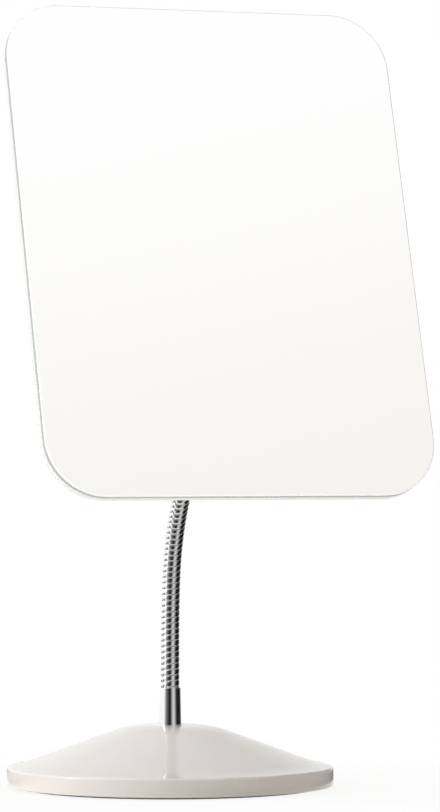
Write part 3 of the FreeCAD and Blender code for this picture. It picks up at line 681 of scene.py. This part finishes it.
def hang_lamp(name, lamp_place, lamp_power, size):
    """Hang a square lamp that faces the middle of the base."""
    deselect()
    bpy.ops.object.light_add(type="AREA", location=lamp_place)
    lamp = bpy.context.object
    lamp.name = name
    lamp.data.energy = lamp_power
    lamp.data.size = size
    lamp.rotation_euler = (-Vector(lamp_place)).to_track_quat("-Z", "Y").to_euler()
    return lamp


def make_lamps(settings):
    """Hang lamps at the left, above and at the right, and lay a weak one in front that shines up."""
    hang_lamp("key_lamp", settings.key_place, settings.key_power, settings.key_size)
    hang_lamp("top_lamp", settings.top_place, settings.top_power, settings.top_size)
    hang_lamp("rim_lamp", settings.rim_place, settings.rim_power, settings.rim_size)
    fill = hang_lamp("fill_lamp", settings.fill_place, settings.fill_power, settings.fill_size)
    fill.rotation_euler = (math.pi, 0.0, 0.0)
    fill.visible_camera = False
    fill.visible_glossy = False


def card_glow_finish():
    """Make the card glow in shades of light that change round the object, seen by all metal but the flat
    mirror.
    """
    paint = new_finish("card_glow", Base_Color=BLACK, Specular_IOR_Level=0.0, Emission_Strength=1.0)
    paint.cycles.emission_sampling = "NONE"
    tree = paint.node_tree
    places = add_node(tree, "ShaderNodeTexCoord")
    turn = add_node(tree, "ShaderNodeTexGradient", gradient_type="RADIAL")
    ramp = add_node(tree, "ShaderNodeValToRGB")
    stops = ramp.color_ramp.elements
    stops.remove(stops[-1])
    # The gradient runs from 0 at -180 degrees to 1 at 180
    for degrees, shade in CARD_SHADES:
        stop = stops.new(0.5 + degrees / 360)
        stop.color = (shade, shade, shade, 1.0)
    stops.remove(stops[0])
    light_path = add_node(tree, "ShaderNodeLightPath")
    nothing = add_node(tree, "ShaderNodeBsdfTransparent")
    mix = add_node(tree, "ShaderNodeMixShader")
    join(tree, places, "Object", turn, "Vector")
    join(tree, turn, "Color", ramp, "Fac")
    # The shades are emitted light: the card glows and paints reflections into the metal
    join(tree, ramp, "Color", shader_of(paint), "Emission Color")
    join(tree, light_path, "Is Singular Ray", mix, 0)
    join(tree, shader_of(paint), "BSDF", mix, 1)
    join(tree, nothing, "BSDF", mix, 2)
    join(tree, mix, "Shader", tree.nodes["Material Output"], "Surface")
    return paint


def make_card(settings):
    """Lay a card round the object, turned up in front, which glows in dark and light shades that only
    polished surfaces see.
    """
    def spare_wall(face):
        middle = face.calc_center_median()
        turn = math.degrees(math.atan2(middle.y, middle.x))
        standing = middle.z > 2 * settings.card_lift
        return standing and not CARD_WALL[0] < turn < CARD_WALL[1]

    deselect()
    bpy.ops.mesh.primitive_circle_add(vertices=settings.card_sides, radius=settings.card_near,
                                      location=(0.0, 0.0, settings.card_lift))
    card = bpy.context.object
    card.name = "card"
    apply_place(card, card.matrix_world.copy())
    begin_shaping("EDGE")
    bpy.ops.mesh.select_all(action="SELECT")
    bpy.ops.mesh.extrude_region()
    widening = settings.card_far / settings.card_near
    bpy.ops.transform.resize(value=(widening, widening, 1.0), center_override=ORIGIN)
    bpy.ops.mesh.extrude_region()
    bpy.ops.transform.translate(value=(0.0, 0.0, settings.card_height))
    end_shaping()
    shape = begin_shaping("FACE")
    pick(shape.faces, spare_wall)
    bpy.ops.mesh.delete(type="FACE")
    end_shaping()
    card.data.materials.append(card_glow_finish())
    card.visible_camera = False
    card.visible_diffuse = False
    card.visible_shadow = False
    card.visible_transmission = False


def make_camera(context, settings):
    """Stand the camera at the photograph's viewing angle."""
    camera_place = Vector(settings.camera_place)
    deselect()
    bpy.ops.object.camera_add(location=camera_place)
    camera = bpy.context.object
    camera.rotation_euler = (Vector(settings.camera_aim) - camera_place).to_track_quat("-Z", "Y").to_euler()
    camera.data.lens = settings.lens
    context.scene.camera = camera


# Operators
class MIRROR_OT_stage(bpy.types.Operator):
    """Set up the floor, the light and the camera"""
    bl_idname = "makeup_mirror.stage"
    bl_label = "Stage"

    def execute(self, context):
        settings = context.scene.mirror_stage
        context.scene.view_settings.view_transform = "Standard"
        make_floor(settings)
        make_sky(context, settings)
        make_lamps(settings)
        make_card(settings)
        make_camera(context, settings)
        return {"FINISHED"}


class MIRROR_OT_neck_winding(bpy.types.Operator):
    """Wind the outer wire of the flexible neck, whose turns are the ribs that show"""
    bl_idname = "makeup_mirror.neck_winding"
    bl_label = "Neck winding"

    def execute(self, context):
        settings = context.scene.mirror_neck
        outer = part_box("neck_wire_01")[1].x
        wind_neck("neck_winding", "neck_wire", settings, coil_radius=outer - settings.rib_depth / 2,
                  width=settings.rib_width, depth=settings.rib_depth, phase=0.0,
                  finish=chrome_finish(context.scene.mirror_colours))
        return {"FINISHED"}


class MIRROR_OT_neck_core(bpy.types.Operator):
    """Wind the inner spring, whose turns lie between those of the outer wire"""
    bl_idname = "makeup_mirror.neck_core"
    bl_label = "Neck core"

    def execute(self, context):
        settings = context.scene.mirror_neck
        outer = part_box("neck_spring_01")[1].x
        wind_neck("neck_core", "neck_spring", settings, coil_radius=outer - settings.core_wire / 2,
                  width=settings.core_wire, depth=settings.core_wire, phase=0.5,
                  finish=spring_finish(context.scene.mirror_colours))
        return {"FINISHED"}


class MIRROR_OT_pane(bpy.types.Operator):
    """Make the pane: silvered in front, ground at its edge and painted behind"""
    bl_idname = "makeup_mirror.pane"
    bl_label = "Pane"

    def execute(self, context):
        settings = context.scene.mirror_pane
        axes = pane_axes()
        low, high = box_along("mirror_glass", axes)
        width, height, depth = high - low
        pane = slab("pane_glass", width, height, depth, settings.corner_radius, settings.corner_steps,
                    settings.arris)
        self.coat_faces(pane, context.scene.mirror_colours)
        apply_place(pane, axes @ Matrix.Translation((0.0, 0.0, -depth / 2)))
        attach(pane, "head")
        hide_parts("mirror_glass")
        return {"FINISHED"}

    def coat_faces(self, pane, colours):
        """Silver the front, paint the back, polish the front arris and leave the rest of the edge ground."""
        finishes = (silver_finish(colours), coat_paint_finish(colours), ground_glass_finish(colours),
                    arris_finish(colours))
        silver, paint, ground, arris = range(len(finishes))
        for finish in finishes:
            pane.data.materials.append(finish)
        smooth(pane, angle=20.0)
        for face in pane.data.polygons:
            flat = abs(face.normal.z) > FLAT_SHARE
            if flat:
                face.material_index = silver if face.normal.z > 0 else paint
            else:
                face.material_index = arris if face.normal.z > ARRIS_SHARE else ground
            face.use_smooth = not flat


class MIRROR_OT_back_panel(bpy.types.Operator):
    """Finish the plastic panel behind the pane"""
    bl_idname = "makeup_mirror.back_panel"
    bl_label = "Back panel"

    def execute(self, context):
        coat_node("back_panel", panel_finish(context.scene.mirror_colours))
        return {"FINISHED"}


class MIRROR_OT_ferrules(bpy.types.Operator):
    """Plate the two sleeves that hold the neck"""
    bl_idname = "makeup_mirror.ferrules"
    bl_label = "Ferrules"

    def execute(self, context):
        chrome = chrome_finish(context.scene.mirror_colours)
        for node in ("lower_ferrule", "upper_ferrule"):
            coat_node(node, chrome)
        return {"FINISHED"}


class MIRROR_OT_base(bpy.types.Operator):
    """Finish the round base and the plate under it"""
    bl_idname = "makeup_mirror.base"
    bl_label = "Base"

    def execute(self, context):
        colours = context.scene.mirror_colours
        coat_node("base_shell", base_finish(colours))
        coat_node("base_cover", cover_finish(colours))
        return {"FINISHED"}


class MIRROR_OT_foam(bpy.types.Operator):
    """Make the pad under the base and the tape behind the pane"""
    bl_idname = "makeup_mirror.foam"
    bl_label = "Foam"

    def execute(self, context):
        self.make_pad(context.scene.mirror_foam, context.scene.mirror_colours)
        self.make_tape(context.scene.mirror_foam, context.scene.mirror_colours)
        return {"FINISHED"}

    def make_pad(self, settings, colours):
        low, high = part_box("base_pad")
        thickness = high.z - low.z
        deselect()
        bpy.ops.mesh.primitive_cylinder_add(vertices=settings.pad_sides, radius=high.x, depth=thickness,
                                            location=(low + high) / 2)
        pad = bpy.context.object
        pad.name = "foot_pad"
        apply_place(pad, pad.matrix_world.copy())
        shape = begin_shaping("EDGE")
        pick(shape.edges, lambda edge: not upright(edge))
        bpy.ops.mesh.bevel(offset=settings.pad_round, segments=settings.round_steps, affect="EDGES",
                           clamp_overlap=False)
        end_shaping()
        finish_normals()
        smooth(pad, angle=40.0)
        pad.data.materials.append(foam_finish("pad_foam", colours.foam))
        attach(pad, "base")
        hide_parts("base_pad")

    def make_tape(self, settings, colours):
        axes = pane_axes()
        low, high = box_along("adhesive_pads", axes)
        finish = foam_finish("tape_foam", colours.tape)
        half_width = settings.tape_width / 2
        for name, across in (("left_tape", low.x + half_width), ("right_tape", high.x - half_width)):
            tape = slab(name, settings.tape_width, high.y - low.y, high.z - low.z, settings.tape_corner,
                        settings.round_steps, settings.tape_round)
            apply_place(tape, axes @ Matrix.Translation((across, (low.y + high.y) / 2, (low.z + high.z) / 2)))
            tape.data.materials.append(finish)
            smooth(tape, angle=30.0)
            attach(tape, "head")
            if name == "left_tape":
                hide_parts("adhesive_pads")


class MIRROR_OT_fixings(bpy.types.Operator):
    """Finish the nuts, washers, screws and the ballast"""
    bl_idname = "makeup_mirror.fixings"
    bl_label = "Fixings"

    def execute(self, context):
        colours = context.scene.mirror_colours
        zinc = zinc_finish(colours)
        for node in ("hub_nut", "base_washer", "base_lock_washer", "base_nut", "cover_screws"):
            coat_node(node, zinc)
        coat_node("base_ballast", ballast_finish(colours))
        return {"FINISHED"}


STEPS = (MIRROR_OT_stage, MIRROR_OT_neck_winding, MIRROR_OT_neck_core, MIRROR_OT_pane, MIRROR_OT_back_panel,
         MIRROR_OT_ferrules, MIRROR_OT_base, MIRROR_OT_foam, MIRROR_OT_fixings)
SETTINGS = {"mirror_neck": NeckSettings, "mirror_pane": PaneSettings, "mirror_foam": FoamSettings,
            "mirror_colours": ColourSettings, "mirror_stage": StageSettings}


class MIRROR_PT_panel(bpy.types.Panel):
    """Lists the steps that dress the mirror"""
    bl_idname = "MIRROR_PT_panel"
    bl_label = "Makeup Mirror"
    bl_space_type = "VIEW_3D"
    bl_region_type = "UI"
    bl_category = "Mirror"

    def draw(self, context):
        for step in STEPS:
            self.layout.operator(step.bl_idname)


CLASSES = (*SETTINGS.values(), *STEPS, MIRROR_PT_panel)


def register():
    for kind in CLASSES:
        bpy.utils.register_class(kind)
    for name, group in SETTINGS.items():
        setattr(bpy.types.Scene, name, PointerProperty(type=group))


def unregister():
    for name in SETTINGS:
        delattr(bpy.types.Scene, name)
    for kind in reversed(CLASSES):
        bpy.utils.unregister_class(kind)


def main():
    register()
    for step in STEPS:
        getattr(bpy.ops.makeup_mirror, step.bl_idname.split(".")[1])()


if __name__ == "__main__":
    main()
